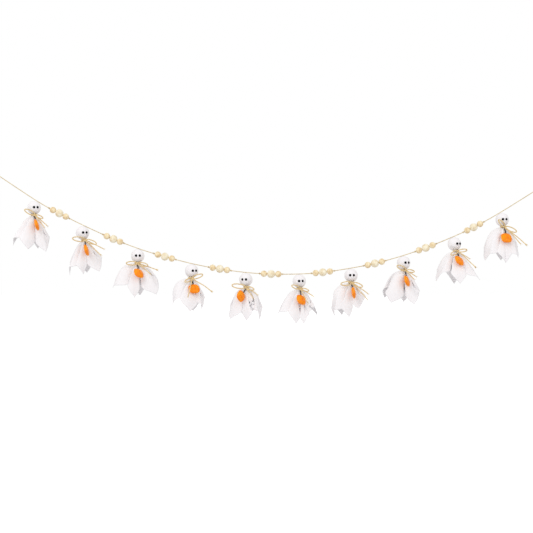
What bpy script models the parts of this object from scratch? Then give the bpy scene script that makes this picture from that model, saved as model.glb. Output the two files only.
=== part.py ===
"""Ghost bead garland: ten cloth ghosts and nine groups of three wooden beads on one string.

Metres, +Z up. The front faces -Y and the garland runs along +X. The origin is the point of the
left hanging loop that sits on its hook.
"""
import math
from typing import NamedTuple

import bmesh
import bpy
from mathutils import Matrix, Vector

# Gap that pieces keep where they touch
SEAT_GAP = 0.0003

# Distance within which the ends of a tube are welded to its wall
WELD_DISTANCE = 0.000001

# Columns and rows of the balls, and of the rings that go round the string and the neck
KNOT_GRID = (8, 6)
BOW_KNOT_GRID = (8, 4)
SMALL_BALL_GRID = (6, 4)
THREAD_RING_GRID = (8, 4)
WRAP_GRID = (12, 4)

# String, and the loops that it hangs by
STRING_DIAMETER = 0.0022
LEFT_HOOK = Vector((0.0, 0.0, 0.0))
RIGHT_HOOK = Vector((1.3925, 0.0, -0.039))
LOOP_WIDTH = 0.017
END_KNOT_DIAMETER = 0.0066
END_KNOT_LENGTH = 0.0086

# Route of the string, as X and Z: first end, then by turns a ghost and a bead group, last end
STRING_ROUTE = (
    (0.0213, -0.0145),
    (0.1247, -0.0827), (0.1783, -0.1120),
    (0.2440, -0.1447), (0.3135, -0.1762),
    (0.3800, -0.2015), (0.4420, -0.2202),
    (0.5130, -0.2385), (0.5795, -0.2510),
    (0.6463, -0.2600), (0.7077, -0.2637),
    (0.7775, -0.2637), (0.8370, -0.2595),
    (0.9045, -0.2495), (0.9670, -0.2373),
    (1.0338, -0.2188), (1.0943, -0.1983),
    (1.1588, -0.1722), (1.2140, -0.1468),
    (1.2763, -0.1125),
    (1.3713, -0.0535),
)
STEPS_PER_SPAN = 4
HALVINGS = 30
SHARE_STEP = 0.01
END_LOOP_STEPS = 12

# Beads
SMALL_BEAD_DIAMETER = 0.016
LARGE_BEAD_DIAMETER = 0.020
BORE_CLEARANCE = 0.0004
BEAD_SIDES = 10
BEAD_ARC_STEPS = 4
MERGE_DISTANCE = 0.00001

# Ghost: a square of cloth over a ball, tied at the neck
HEAD_DIAMETER = 0.033
CLOTH_SIDE = 0.190
CLOTH_THICKNESS = 0.0012
NECK_DIAMETER = 0.010
NECK_DROP = 0.0185
HEAD_ROW_ANGLES = (45.0, 90.0, 136.0)
RIBS_PER_QUARTER = 6
SKIRT_ROWS = (0.2, 0.45, 0.72, 1.0)
PRESSED_BELLY = 0.05
BELLY_RISE = 0.7
EDGE_FLARE = 12.0
FOLD_FLARE = 14.0
PRESS_SPREAD = 35.0
PRESS_GAP = 0.003
INNER_TOP_DROP = 0.003
SKIRT_CREASE_ANGLE = 60.0

# Eyes, and the thread loop that ties the head to the string
EYE_DIAMETER = 0.0060
EYE_SPACING = 0.0093
EYE_LIFT = 2.0
EYE_SINK = 0.0008
THREAD_DIAMETER = 0.0010
THREAD_KNOT_DIAMETER = 0.0036

# Twine bow
TWINE_DIAMETER = 0.0030
BOW_KNOT_DIAMETER = 0.0066
BOW_KNOT_WIDTH = 0.0084
BOW_LOOP_WIDTH = 0.32
BOW_FORWARD = 0.008
STRAND_FRONT = 0.0018
LOOP_START = 0.12
TAIL_START = 0.0011
LOOP_STEPS = 7
TAIL_STEPS = 3
TAIL_DROOP = 0.06

# Pumpkin on a stem
PUMPKIN_WIDTH = 0.028
PUMPKIN_HEIGHT = 0.026
PUMPKIN_THICKNESS = 0.010
PUMPKIN_RIBS = 8
GROOVE_DEPTH = 0.10

# Levels of the pumpkin, as shares of its width and of its height from the top
PUMPKIN_LEVELS = ((0.62, 0.04), (0.97, 0.28), (0.98, 0.62), (0.62, 0.93))
STEM_LENGTH = 0.0145
STEM_DIAMETER = 0.0026
STEM_FOOT_DIAMETER = 0.0044


class Ghost(NamedTuple):
    """What differs from ghost to ghost: lengths in metres, angles in degrees."""
    face: float         # the eyes turn from the front towards +X
    turn: float         # the bow and the pumpkin sit round the neck, from the front towards +X
    lean: float         # the neck swings towards +X
    corners: tuple      # of the cloth: azimuth from the front, flare from straight down, extra reach,
                        # and how far it bellies outward as a share of its reach
    loops: tuple        # of the bow: length and direction, anticlockwise from +X seen from the front
    tails: tuple        # of the bow: length, direction and forward slope
    charm: tuple        # the pumpkin: turn about its stem, roll towards +X, forward tilt


GHOSTS = (
    Ghost(26, 24, -2,
          ((-95, 32, 0.0, 0.12), (-22, 25, 0.0, 0.06), (88, 18, 0.006, 0.09), (175, 22, 0.0, 0.10)),
          ((0.030, 156), (0.020, -24)), ((0.036, -45, 36), (0.034, -58, 44)), (66, 2, 41)),
    Ghost(30, 22, 13,
          ((-88, 20, 0.004, 0.09), (2, 22, -0.003, 0.06), (95, 41, -0.004, 0.04), (178, 24, 0.0, 0.10)),
          ((0.034, 174), (0.028, -19)), ((0.046, -25, 34), (0.048, -46, 36)), (60, -2, 40)),
    Ghost(8, 2, 0,
          ((-95, 44, -0.005, 0.22), (-12, 27, 0.0, 0.06), (88, 42, 0.0, 0.16), (178, 24, 0.0, 0.10)),
          ((0.027, 180), (0.027, -12)), ((0.050, -16, 34), (0.042, -34, 38)), (45, 12, 41)),
    Ghost(30, 18, -5,
          ((-92, 28, -0.002, 0.28), (0, 24, 0.0, 0.06), (82, 18, -0.008, 0.14), (175, 22, 0.0, 0.10)),
          ((0.027, 20), (0.022, 202)), ((0.048, -108, 46), (0.054, -32, 36)), (0, 4, 38)),
    Ghost(-14, -12, 5,
          ((-90, 28, -0.002, 0.24), (2, 30, -0.002, 0.06), (70, 22, -0.001, 0.18), (182, 24, 0.0, 0.10)),
          ((0.033, 172), (0.024, -14)), ((0.037, -27, 36), (0.036, -43, 42)), (52, -24, 45)),
    Ghost(14, 10, 3,
          ((-100, 38, -0.003, 0.14), (-25, 24, 0.0, 0.06), (30, 13, 0.0, 0.04), (125, 34, -0.008, 0.10)),
          ((0.025, 162), (0.020, -16)), ((0.034, -30, 34), (0.034, -72, 52)), (28, -2, 33)),
    Ghost(5, 5, 2,
          ((-150, 22, 0.0, 0.20), (-95, 24, 0.003, 0.30), (-22, 22, -0.001, 0.06), (60, 42, -0.022, 0.10)),
          ((0.029, 186), (0.027, -20)), ((0.043, -34, 40), (0.050, -48, 44)), (84, 4, 44)),
    Ghost(27, 20, 2,
          ((-128, 35, -0.004, 0.20), (-62, 29, 0.001, 0.18), (62, 24, 0.0, 0.13), (175, 20, -0.004, 0.10)),
          ((0.030, 158), (0.020, -10)), ((0.026, -32, 34), (0.026, -52, 36)), (40, -10, 36)),
    Ghost(34, 18, 13,
          ((-88, 34, 0.0, 0.19), (6, 28, 0.0, 0.06), (86, 38, 0.002, 0.03), (178, 24, 0.0, 0.10)),
          ((0.021, 8), (0.025, 200)), ((0.048, -50, 38), (0.030, -34, 36)), (14, -14, 44)),
    Ghost(13, 12, 8,
          ((-88, 29, 0.006, 0.23), (4, 12, 0.003, 0.06), (80, 24, -0.006, 0.14), (178, 22, 0.0, 0.10)),
          ((0.026, 140), (0.030, -24)), ((0.048, -56, 36), (0.062, -41, 32)), (0, -3, 31)),
)

CREAM_WOOD = (0.86, 0.74, 0.53)
PALE_WOOD = (0.90, 0.81, 0.62)
WHITE_CLOTH = (0.86, 0.84, 0.86)
TAN_TWINE = (0.72, 0.53, 0.27)
CREAM_STRING = (0.80, 0.66, 0.42)
ORANGE = (0.95, 0.27, 0.02)

STRING_RADIUS = STRING_DIAMETER / 2
HEAD_RADIUS = HEAD_DIAMETER / 2
NECK_RADIUS = NECK_DIAMETER / 2
TWINE_RADIUS = TWINE_DIAMETER / 2
BORE_RADIUS = STRING_RADIUS + BORE_CLEARANCE
THREAD_RADIUS = THREAD_DIAMETER / 2
KNOT_OFFSET = NECK_RADIUS + SEAT_GAP + BOW_KNOT_DIAMETER / 2
NECK_HALF_HEIGHT = TWINE_RADIUS + SEAT_GAP

# Length of cloth between the top of the head and the neck
HEAD_COVER = HEAD_RADIUS * (math.pi - math.asin(NECK_DIAMETER / HEAD_DIAMETER))


def clear_scene():
    """Remove what the start-up file holds."""
    for item in list(bpy.data.objects):
        bpy.data.objects.remove(item, do_unlink=True)


def make_collection(name):
    """Return a new collection in the scene."""
    collection = bpy.data.collections.new(name)
    bpy.context.scene.collection.children.link(collection)
    return collection


def make_material(name, colour, roughness):
    """Return a plain Principled material."""
    material = bpy.data.materials.new(name)
    material.use_nodes = True
    shader = material.node_tree.nodes["Principled BSDF"]
    shader.inputs["Base Color"].default_value = (*colour, 1.0)
    shader.inputs["Roughness"].default_value = roughness
    shader.inputs["Metallic"].default_value = 0.0
    return material


def add_object(name, data, collection, material=None):
    """Link a new object that holds the given mesh or curve."""
    item = bpy.data.objects.new(name, data)
    collection.objects.link(item)
    if material is not None:
        data.materials.append(material)
    return item


def mesh_from(bm, name, smooth_angle=45.0):
    """Turn a bmesh into a smooth-shaded mesh whose creases stay sharp."""
    bmesh.ops.recalc_face_normals(bm, faces=bm.faces)
    mesh = bpy.data.meshes.new(name)
    bm.to_mesh(mesh)
    bm.free()
    mesh.shade_smooth()
    mesh.set_sharp_from_angle(angle=math.radians(smooth_angle))
    return mesh


def tube_curve(name, points, diameter, sides_setting):
    """Return a round tube with closed ends along the points."""
    curve = bpy.data.curves.new(name, "CURVE")
    curve.dimensions = "3D"
    curve.bevel_depth = diameter / 2
    curve.bevel_resolution = sides_setting
    curve.use_fill_caps = True
    spline = curve.splines.new("POLY")
    spline.points.add(len(points) - 1)
    for target, point in zip(spline.points, points):
        target.co = (*point, 1.0)
    return curve


def add_tube(bm, points, diameter, sides_setting):
    """Add a welded tube along the points to a bmesh."""
    curve = tube_curve("strand", points, diameter, sides_setting)
    item = bpy.data.objects.new("strand", curve)
    bpy.context.scene.collection.objects.link(item)
    depsgraph = bpy.context.evaluated_depsgraph_get()
    mesh = bpy.data.meshes.new_from_object(item.evaluated_get(depsgraph))
    strand = bmesh.new()
    strand.from_mesh(mesh)
    bmesh.ops.remove_doubles(strand, verts=strand.verts, dist=WELD_DISTANCE)
    strand.to_mesh(mesh)
    strand.free()
    bm.from_mesh(mesh)
    bpy.data.objects.remove(item, do_unlink=True)
    bpy.data.curves.remove(curve)
    bpy.data.meshes.remove(mesh)


def add_ball(bm, centre, size, columns, rows):
    """Add an ellipsoid of the given sizes along X, Y and Z to a bmesh."""
    matrix = Matrix.Translation(centre) @ Matrix.Diagonal((*size, 1.0))
    bmesh.ops.create_uvsphere(bm, u_segments=columns, v_segments=rows, radius=0.5, matrix=matrix)


def add_ring(bm, matrix, ring_radius, tube_radius, columns, rows):
    """Add a torus about the local Z axis of the matrix to a bmesh."""
    sections = []
    for column in range(columns):
        around = math.tau * column / columns
        section = []
        for row in range(rows):
            across = math.tau * row / rows
            reach = ring_radius + tube_radius * math.cos(across)
            point = Vector((reach * math.cos(around), reach * math.sin(around),
                            tube_radius * math.sin(across)))
            section.append(bm.verts.new(matrix @ point))
        sections.append(section)
    for column in range(columns):
        near, far = sections[column], sections[(column + 1) % columns]
        for row in range(rows):
            above = (row + 1) % rows
            bm.faces.new((near[row], far[row], far[above], near[above]))


def union(item, bodies, collection):
    """Fuse a mesh of closed bodies, some of which overlap, with an object."""
    tool = add_object(item.name + "_fused", bodies, collection)
    tool.matrix_world = item.matrix_world
    tool.hide_render = True
    tool.display_type = "WIRE"
    modifier = item.modifiers.new("fuse", "BOOLEAN")
    modifier.operation = "UNION"
    modifier.solver = "EXACT"
    modifier.use_self = True
    modifier.object = tool


def teardrop(length, width, steps):
    """Return points, along X and across Z, of a loop that leaves the origin and comes back."""
    points = []
    for step in range(steps + 1):
        angle = LOOP_START + (math.pi - 2 * LOOP_START) * step / steps
        along = length * math.sin(angle) ** 2
        across = width / 2 * math.sin(2 * angle)
        points.append(Vector((along, 0.0, across)))
    return points


# String


def route_point(index):
    """Return a point of the string's route."""
    x, z = STRING_ROUTE[index]
    return Vector((x, 0.0, z))


def span_point(index, share):
    """Return a point on the smooth curve, a share of the way from one route point to the next."""
    last = len(STRING_ROUTE) - 1
    near, far = route_point(index), route_point(index + 1)
    before = route_point(index - 1) if index > 0 else 2 * near - far
    after = route_point(index + 2) if index + 1 < last else 2 * far - near
    return 0.5 * (2 * near + (far - before) * share
                  + (2 * before - 5 * near + 4 * far - after) * share ** 2
                  + (3 * near - before - 3 * far + after) * share ** 3)


def string_at(index, offset):
    """Return the point and the direction of the string at a distance from a route point."""
    span = index if offset >= 0 else index - 1
    low, high = (0.0, 1.0) if offset >= 0 else (1.0, 0.0)
    start = route_point(index)
    for _ in range(HALVINGS):
        share = (low + high) / 2
        if (span_point(span, share) - start).length < abs(offset):
            low = share
        else:
            high = share
    direction = (span_point(span, share + SHARE_STEP) - span_point(span, share - SHARE_STEP)).normalized()
    return span_point(span, share), direction


def make_string(parts, material):
    """Build the string from its first knot to its last."""
    spans = len(STRING_ROUTE) - 1
    points = []
    for index in range(spans):
        for step in range(STEPS_PER_SPAN):
            points.append(span_point(index, step / STEPS_PER_SPAN))
    points.append(route_point(spans))
    curve = tube_curve("string", points, STRING_DIAMETER, 2)
    add_object("string", curve, parts, material)


def make_end_loop(name, hook, end, parts, tools, material):
    """Build the loop that the string hangs by, with the knot that closes it."""
    outward = (hook - end).normalized()
    knot = end + outward * (SEAT_GAP + END_KNOT_LENGTH / 2)
    turn = Matrix.Rotation(-math.atan2(outward.z, outward.x), 4, "Y")
    length = (hook - knot).length + STRING_RADIUS
    bm = bmesh.new()
    add_tube(bm, teardrop(length, LOOP_WIDTH, END_LOOP_STEPS), STRING_DIAMETER, 1)
    loop = mesh_from(bm, name + "_strand")
    bm = bmesh.new()
    add_ball(bm, Vector(), (END_KNOT_LENGTH, END_KNOT_DIAMETER, END_KNOT_DIAMETER), *KNOT_GRID)
    item = add_object(name, mesh_from(bm, name), parts, material)
    item.matrix_world = Matrix.Translation(knot) @ turn
    union(item, loop, tools)


# Beads


def bead_half_length(diameter):
    """Return half the length of a bead along its bore."""
    return math.sqrt((diameter / 2) ** 2 - BORE_RADIUS ** 2)


def bead_mesh(name, diameter):
    """Return the profile of a bored ball, down its outer side and back up the bore."""
    radius = diameter / 2
    top = math.acos(BORE_RADIUS / radius)
    bm = bmesh.new()
    profile = []
    for step in range(BEAD_ARC_STEPS + 1):
        angle = top - 2 * top * step / BEAD_ARC_STEPS
        profile.append(bm.verts.new((radius * math.cos(angle), 0.0, radius * math.sin(angle))))
    for near, far in zip(profile, profile[1:] + profile[:1]):
        bm.edges.new((near, far))
    mesh = bpy.data.meshes.new(name)
    bm.to_mesh(mesh)
    bm.free()
    return mesh


def make_bead(name, mesh, index, offset, parts, material):
    """Thread one bead on the string."""
    point, direction = string_at(index, offset)
    item = add_object(name, mesh, parts)
    if not mesh.materials:
        mesh.materials.append(material)
    turn = direction.to_track_quat("Z", "Y").to_matrix().to_4x4()
    item.matrix_world = Matrix.Translation(point) @ turn
    screw = item.modifiers.new("turn", "SCREW")
    screw.axis = "Z"
    screw.steps = BEAD_SIDES
    screw.render_steps = BEAD_SIDES
    screw.use_merge_vertices = True
    screw.merge_threshold = MERGE_DISTANCE
    screw.use_smooth_shade = True


def make_beads(parts, small_material, large_material):
    """Build the nine groups: a small bead, a large one and a small one."""
    small = bead_mesh("small_bead", SMALL_BEAD_DIAMETER)
    large = bead_mesh("large_bead", LARGE_BEAD_DIAMETER)
    spacing = bead_half_length(LARGE_BEAD_DIAMETER) + SEAT_GAP + bead_half_length(SMALL_BEAD_DIAMETER)
    for group in range(1, len(GHOSTS)):
        index = 2 * group
        name = f"bead_group_{group}_"
        make_bead(name + "left", small, index, -spacing, parts, small_material)
        make_bead(name + "middle", large, index, 0.0, parts, large_material)
        make_bead(name + "right", small, index, spacing, parts, small_material)


# Ghosts


def heading(azimuth, flare):
    """Return the unit vector that leaves straight down by the flare, towards the azimuth."""
    around, out = math.radians(azimuth), math.radians(flare)
    return Vector((math.sin(out) * math.sin(around), -math.sin(out) * math.cos(around),
                   -math.cos(out)))


def ghost_places(number):
    """Return where a ghost's tie point, head centre and neck centre are, and the string's run."""
    tie, direction = string_at(2 * number - 1, 0.0)
    below = Vector((direction.z, 0.0, -direction.x))
    head = tie + below * (STRING_RADIUS + SEAT_GAP + HEAD_RADIUS)
    neck = head + NECK_DROP * heading(90.0, GHOSTS[number - 1].lean)
    return tie, direction, head, neck


def charm_press(ghost):
    """Return the azimuth of the pumpkin, and the most that the cloth behind it may flare."""
    turn, roll, tilt = (math.radians(angle) for angle in ghost.charm)
    lever = STEM_LENGTH + PUMPKIN_HEIGHT / 2
    half_depth = math.hypot(PUMPKIN_WIDTH * math.sin(turn), PUMPKIN_THICKNESS * math.cos(turn)) / 2
    sideways = math.atan2(lever * math.sin(roll) * math.cos(tilt), KNOT_OFFSET + lever * math.sin(tilt))
    spare = half_depth + PRESS_GAP
    return ghost.turn + math.degrees(sideways), math.degrees(tilt - math.asin(spare / lever))


def cloth_ribs(ghost):
    """Return azimuth, flare, reach below the neck and belly of each fold line of a square cloth."""
    corner_distance = CLOTH_SIDE / math.sqrt(2)
    charm_azimuth, charm_flare = charm_press(ghost)
    ribs = []
    for quarter, (azimuth, flare, extra, belly) in enumerate(ghost.corners):
        next_azimuth, next_flare, next_extra, next_belly = ghost.corners[(quarter + 1) % 4]
        sweep = (next_azimuth - azimuth) % 360
        for rib in range(RIBS_PER_QUARTER):
            share = rib / RIBS_PER_QUARTER
            corner = corner_distance + extra + (next_extra - extra) * share
            edge = corner * math.cos(math.pi / 4) / math.cos(math.pi / 2 * (share - 0.5))
            fold = -FOLD_FLARE if rib % 2 else 0.0
            lean_out = flare + (next_flare - flare) * share + EDGE_FLARE * math.sin(math.pi * share)
            around = azimuth + sweep * share
            aside = 1 - math.cos(math.radians(around - charm_azimuth))
            pressed = min(lean_out + fold, charm_flare + PRESS_SPREAD * aside)
            free = PRESSED_BELLY + (belly + (next_belly - belly) * share - PRESSED_BELLY) * min(aside, 1.0)
            ribs.append((around, pressed, edge - HEAD_COVER, free))
    return ribs


def head_ring(ribs, lean, angle):
    """Return the points of one level of the head, at an angle from its top."""
    swing = Matrix.Rotation(math.radians(-lean), 3, "Y")
    return [swing @ (HEAD_RADIUS * heading(azimuth, 180.0 - angle)) for azimuth, *_ in ribs]


def neck_ring(ribs, neck, height):
    """Return the points of the neck at a height over its middle."""
    lift = Vector((0.0, 0.0, height))
    return [neck + lift + NECK_RADIUS * heading(azimuth, 90.0) for azimuth, *_ in ribs]


def skirt_ring(ribs, neck, share, inset):
    """Return the points of one level of the skirt, inset towards its axis."""
    points = []
    for azimuth, flare, reach, belly in ribs:
        start = neck + Vector((0.0, 0.0, -NECK_HALF_HEIGHT)) + NECK_RADIUS * heading(azimuth, 90.0)
        bulge = belly * reach * math.sin(math.pi * share ** BELLY_RISE) * heading(azimuth, flare + 90.0)
        along = reach * share * heading(azimuth, flare)
        points.append(start + along + bulge - inset * heading(azimuth, 90.0))
    return points


def add_band(bm, above, below):
    """Join two rings with triangles whose diagonals all run the same way."""
    for index, corner in enumerate(above):
        following = (index + 1) % len(above)
        bm.faces.new((corner, below[index], below[following]))
        bm.faces.new((corner, below[following], above[following]))


def add_fan(bm, tip, ring):
    """Close a ring with triangles that meet at a tip."""
    for index, corner in enumerate(ring):
        bm.faces.new((tip, corner, ring[(index + 1) % len(ring)]))


def add_loft(bm, top, rings, bottom):
    """Add a skin from a top point over the rings to a bottom point; return the rings' vertices."""
    loops = [[bm.verts.new(point) for point in ring] for ring in rings]
    add_fan(bm, bm.verts.new(top), loops[0])
    for above, below in zip(loops, loops[1:]):
        add_band(bm, above, below)
    if bottom is not None:
        add_fan(bm, bm.verts.new(bottom), loops[-1])
    return loops


def cloth_mesh(name, ghost, neck):
    """Return the draped cloth as one skin: the covered head, the tied neck and the hollow skirt."""
    ribs = cloth_ribs(ghost)
    outside = [head_ring(ribs, ghost.lean, angle) for angle in HEAD_ROW_ANGLES]
    outside.append(neck_ring(ribs, neck, NECK_HALF_HEIGHT))
    outside.append(neck_ring(ribs, neck, -NECK_HALF_HEIGHT))
    outside += [skirt_ring(ribs, neck, share, 0.0) for share in SKIRT_ROWS]
    inside = [skirt_ring(ribs, neck, share, CLOTH_THICKNESS) for share in SKIRT_ROWS]
    bm = bmesh.new()
    top = -HEAD_RADIUS * heading(90.0, ghost.lean)
    inner_top = neck + Vector((0.0, 0.0, -NECK_HALF_HEIGHT - INNER_TOP_DROP))
    outer = add_loft(bm, top, outside, None)
    inner = add_loft(bm, inner_top, inside, None)
    add_band(bm, outer[-1], inner[-1])
    return mesh_from(bm, name, SKIRT_CREASE_ANGLE)


def face_details(name, ghost, tie, direction):
    """Return the eyes and the knotted thread loop round the string, in the head's own frame."""
    bm = bmesh.new()
    half_angle = math.degrees(math.asin(EYE_SPACING / HEAD_DIAMETER))
    for side in (-1, 1):
        outward = heading(ghost.face + side * half_angle, 90.0 + EYE_LIFT)
        centre = outward * (HEAD_RADIUS - EYE_SINK)
        add_ball(bm, centre, (EYE_DIAMETER,) * 3, *SMALL_BALL_GRID)
    ring_radius = STRING_RADIUS + SEAT_GAP + THREAD_RADIUS
    turn = direction.to_track_quat("Z", "Y").to_matrix().to_4x4()
    add_ring(bm, Matrix.Translation(tie) @ turn, ring_radius, THREAD_RADIUS, *THREAD_RING_GRID)
    knot_drop = STRING_RADIUS + SEAT_GAP + THREAD_KNOT_DIAMETER / 2
    add_ball(bm, tie - tie.normalized() * knot_drop, (THREAD_KNOT_DIAMETER,) * 3, *SMALL_BALL_GRID)
    return mesh_from(bm, name + "_details")


def make_cloth(number, parts, tools, material):
    """Build one ghost's cloth over its head, with the eyes and the thread loop fused on."""
    ghost = GHOSTS[number - 1]
    tie, direction, head, neck = ghost_places(number)
    name = f"ghost_{number}_cloth"
    item = add_object(name, cloth_mesh(name, ghost, neck - head), parts, material)
    item.matrix_world = Matrix.Translation(head)
    union(item, face_details(name, ghost, tie - head, direction), tools)


# Bows


def bow_loop(length, direction):
    """Return the strand of one bow loop, which swings forward as it leaves the knot."""
    turn = Matrix.Rotation(math.radians(-direction), 3, "Y")
    points = []
    for point in teardrop(length, BOW_LOOP_WIDTH * length, LOOP_STEPS):
        swing = BOW_FORWARD * math.sin(math.pi / 2 * point.x / length)
        points.append(turn @ point + Vector((0.0, -STRAND_FRONT - swing, 0.0)))
    return points


def bow_tail(length, direction, slope, start):
    """Return the strand of one bow tail, which droops and slopes forward over the skirt."""
    turn = Matrix.Rotation(math.radians(-direction), 3, "Y")
    points = []
    for step in range(TAIL_STEPS + 1):
        share = step / TAIL_STEPS
        point = turn @ Vector((length * share, 0.0, 0.0))
        point.z -= TAIL_DROOP * length * share ** 2
        point.y = point.z * math.tan(math.radians(slope)) - STRAND_FRONT
        point.x += start
        points.append(point)
    return points


def bow_mesh(name, ghost):
    """Return the bow's strands, in the frame of its knot."""
    bm = bmesh.new()
    for length, direction in ghost.loops:
        add_tube(bm, bow_loop(length, direction), TWINE_DIAMETER, 0)
    for (length, direction, slope), start in zip(ghost.tails, (TAIL_START, -TAIL_START)):
        add_tube(bm, bow_tail(length, direction, slope, start), TWINE_DIAMETER, 0)
    wrap = Matrix.Translation(Vector((0.0, KNOT_OFFSET, 0.0)))
    wrap_radius = NECK_RADIUS / math.cos(math.pi / WRAP_GRID[0]) + SEAT_GAP + TWINE_RADIUS
    add_ring(bm, wrap, wrap_radius, TWINE_RADIUS, *WRAP_GRID)
    return mesh_from(bm, name + "_strands")


def knot_frame(number):
    """Return the frame of a ghost's bow knot, on the front of its neck."""
    ghost = GHOSTS[number - 1]
    neck = ghost_places(number)[3]
    turn = Matrix.Rotation(math.radians(ghost.turn), 4, "Z")
    return Matrix.Translation(neck + KNOT_OFFSET * heading(ghost.turn, 90.0)) @ turn


def make_bow(number, parts, tools, material):
    """Build one twine bow: the wrap round the neck, the knot, two loops and two tails."""
    name = f"ghost_{number}_bow"
    bm = bmesh.new()
    add_ball(bm, Vector(), (BOW_KNOT_WIDTH, BOW_KNOT_DIAMETER, BOW_KNOT_DIAMETER), *BOW_KNOT_GRID)
    item = add_object(name, mesh_from(bm, name), parts, material)
    item.matrix_world = knot_frame(number)
    union(item, bow_mesh(name, GHOSTS[number - 1]), tools)


# Pumpkins


def pumpkin_ring(width_share, drop):
    """Return one level of the pumpkin, with a groove between each two ribs."""
    points = []
    for step in range(2 * PUMPKIN_RIBS):
        angle = math.pi * step / PUMPKIN_RIBS
        groove = 1.0 - GROOVE_DEPTH if step % 2 else 1.0
        points.append(Vector((PUMPKIN_WIDTH / 2 * width_share * groove * math.cos(angle),
                              PUMPKIN_THICKNESS / 2 * width_share * groove * math.sin(angle),
                              -drop)))
    return points


def stem_ring(diameter, drop):
    """Return one level of the stem."""
    points = []
    for step in range(2 * PUMPKIN_RIBS):
        angle = math.pi * step / PUMPKIN_RIBS
        points.append(Vector((diameter / 2 * math.cos(angle), diameter / 2 * math.sin(angle), -drop)))
    return points


def pumpkin_mesh(name):
    """Return the ribbed pumpkin and its stem, with the top of the stem at the origin."""
    rings = [stem_ring(STEM_DIAMETER, 0.0), stem_ring(STEM_FOOT_DIAMETER, STEM_LENGTH)]
    for width_share, height_share in PUMPKIN_LEVELS:
        rings.append(pumpkin_ring(width_share, STEM_LENGTH + PUMPKIN_HEIGHT * height_share))
    bm = bmesh.new()
    bottom = Vector((0.0, 0.0, -STEM_LENGTH - PUMPKIN_HEIGHT))
    add_loft(bm, Vector(), rings, bottom)
    return mesh_from(bm, name)


def make_pumpkin(number, mesh, parts, material):
    """Hang one pumpkin by its stem under the bow's knot."""
    turn, roll, tilt = (math.radians(angle) for angle in GHOSTS[number - 1].charm)
    hang = Matrix.Rotation(-roll, 4, "Y") @ Matrix.Rotation(-tilt, 4, "X")
    drop = (BOW_KNOT_DIAMETER + STEM_DIAMETER * math.sin(tilt)) / 2 + SEAT_GAP
    seat = Matrix.Translation(Vector((0.0, 0.0, -drop)))
    item = add_object(f"ghost_{number}_pumpkin", mesh, parts)
    if not mesh.materials:
        mesh.materials.append(material)
    item.matrix_world = knot_frame(number) @ seat @ hang @ Matrix.Rotation(turn, 4, "Z")


def build():
    """Model the whole garland."""
    clear_scene()
    parts = make_collection("ghost_bead_garland")
    tools = make_collection("fused_details")
    string = make_material("cream_string", CREAM_STRING, 0.9)
    twine = make_material("tan_twine", TAN_TWINE, 0.9)
    cloth = make_material("white_cloth", WHITE_CLOTH, 0.85)
    pumpkin = make_material("orange_pumpkin", ORANGE, 0.35)
    make_string(parts, string)
    make_end_loop("left_end_loop", LEFT_HOOK, route_point(0), parts, tools, string)
    make_end_loop("right_end_loop", RIGHT_HOOK, route_point(-1), parts, tools, string)
    make_beads(parts, make_material("cream_wood", CREAM_WOOD, 0.5),
               make_material("pale_wood", PALE_WOOD, 0.5))
    charm = pumpkin_mesh("pumpkin")
    for number in range(1, len(GHOSTS) + 1):
        make_cloth(number, parts, tools, cloth)
        make_bow(number, parts, tools, twine)
        make_pumpkin(number, charm, parts, pumpkin)


build()
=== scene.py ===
# Looks of the ghost bead garland. Metres, in the frame of the CAD model: +X along the garland,
# -Y its front and +Z up.
import math

import bmesh
import bpy
from mathutils import Matrix, Vector, noise


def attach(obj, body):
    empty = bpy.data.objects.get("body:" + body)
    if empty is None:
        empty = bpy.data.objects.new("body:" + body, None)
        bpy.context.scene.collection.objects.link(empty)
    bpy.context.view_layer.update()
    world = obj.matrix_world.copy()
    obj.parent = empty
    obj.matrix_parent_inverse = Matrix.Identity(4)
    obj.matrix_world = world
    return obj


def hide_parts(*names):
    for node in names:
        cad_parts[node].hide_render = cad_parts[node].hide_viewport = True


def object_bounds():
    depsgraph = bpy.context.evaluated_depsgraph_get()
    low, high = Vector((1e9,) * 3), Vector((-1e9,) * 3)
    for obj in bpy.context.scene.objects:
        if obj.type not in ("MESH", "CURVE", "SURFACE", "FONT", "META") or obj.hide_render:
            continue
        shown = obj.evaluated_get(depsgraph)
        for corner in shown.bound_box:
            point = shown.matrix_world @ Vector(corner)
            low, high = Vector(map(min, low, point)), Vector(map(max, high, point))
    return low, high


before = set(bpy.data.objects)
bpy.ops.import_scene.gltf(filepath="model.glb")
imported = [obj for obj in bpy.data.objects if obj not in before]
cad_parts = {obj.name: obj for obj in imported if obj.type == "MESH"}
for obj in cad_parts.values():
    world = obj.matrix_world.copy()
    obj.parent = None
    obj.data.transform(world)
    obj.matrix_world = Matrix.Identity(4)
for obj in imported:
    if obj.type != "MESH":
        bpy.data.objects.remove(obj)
CAD_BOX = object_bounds()

# String, and the loops that it hangs by
SEAT_GAP = 0.0003
STRING_DIAMETER = 0.0022
LEFT_HOOK = Vector((0.0, 0.0, 0.0))
RIGHT_HOOK = Vector((1.3925, 0.0, -0.039))
LOOP_WIDTH = 0.017
END_KNOT_DIAMETER = 0.0066
END_KNOT_LENGTH = 0.0086
STOP_KNOT_DIAMETER = 0.0046
STOP_KNOT_LENGTH = 0.0052
STOP_KNOT_STRAND = 0.0015
STRING_STEP = 0.0011
END_LOOP_STEP = 0.0008
END_LOOP_STEPS = 24
END_CORE_REACH = 0.004
END_CORE_DIAMETER = 0.0030

# Twisted strands: length of a lay in diameters, depth of the plies and width of a tapered end as
# shares of the width, steps in a knot's turn, and parts of a curve between two of its points
STRAND_LAY = 3.2
PLY_DEPTH = 0.10
TAPER = 0.55
KNOT_STEPS = 16
CURVE_PARTS = 8

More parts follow.
